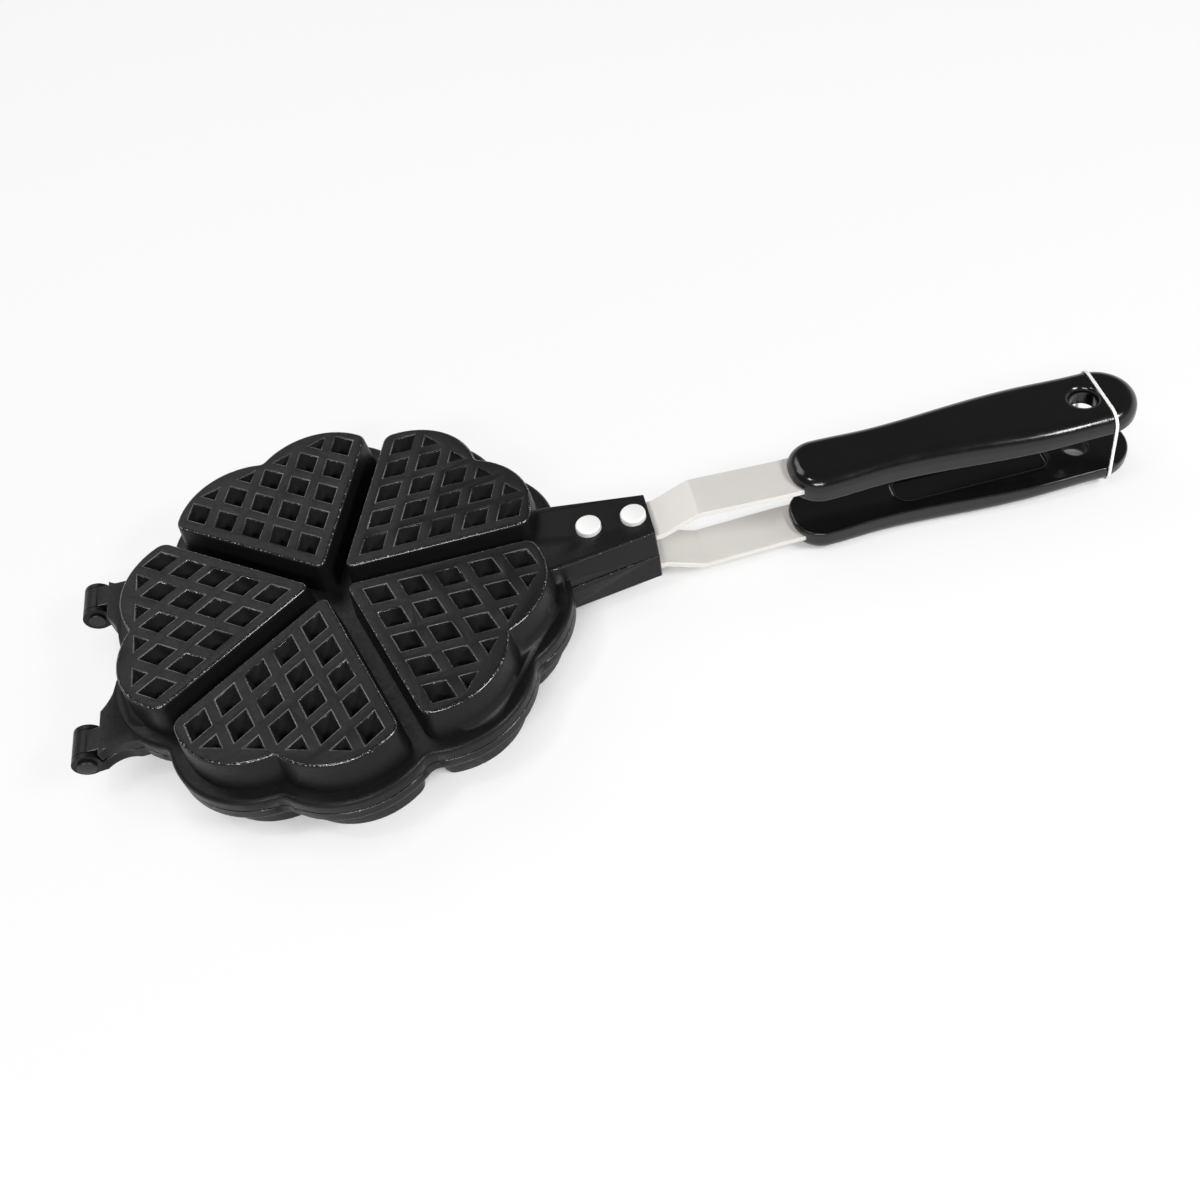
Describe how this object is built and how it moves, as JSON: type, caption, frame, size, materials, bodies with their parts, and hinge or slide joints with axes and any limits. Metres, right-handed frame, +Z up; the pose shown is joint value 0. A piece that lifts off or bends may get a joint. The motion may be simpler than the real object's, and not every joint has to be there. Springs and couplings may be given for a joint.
{
  "type": "stovetop waffle iron",
  "caption": "Hinged cast stovetop waffle iron with a ring of heart moulds, pitted outer faces, flat steel handle bars and moulded grips.",
  "frame": {"origin": "centre of the ring of hearts, on the plane of the lower half's outer heart faces, which rest on the stove", "axes": "+X from the hearts to the handle, +Y to the back, +Z up through the closed iron"},
  "size_m": [0.3755, 0.1626, 0.035],
  "materials": {
    "coated_casting": "satin black non-stick coating on cast aluminium",
    "flat_steel": "satin",
    "moulded_grip": "glossy moulded phenolic",
    "rivet_aluminium": "bright satin",
    "pin_steel": "dark coated",
    "band_rubber": "matt white"
  },
  "bodies": {
    "lower_half": {"lower_plate": "coated_casting", "lower_bar": "flat_steel", "lower_grip": "moulded_grip", "lower_plate_side_rivet": "rivet_aluminium", "lower_handle_side_rivet": "rivet_aluminium", "left_hinge_pin": "pin_steel", "right_hinge_pin": "pin_steel", "elastic_band": "band_rubber"},
    "upper_half": {"upper_plate": "coated_casting", "upper_bar": "flat_steel", "upper_grip": "moulded_grip", "upper_plate_side_rivet": "rivet_aluminium", "upper_handle_side_rivet": "rivet_aluminium"}
  },
  "joints": [
    {"name": "opening_hinge", "type": "hinge", "parent": "lower_half", "child": "upper_half", "pos_m": [-0.089, 0, 0.0175], "axis": [0, -1, 0], "range_deg": [0, 180], "deforming": ["elastic_band"]}
  ]
}
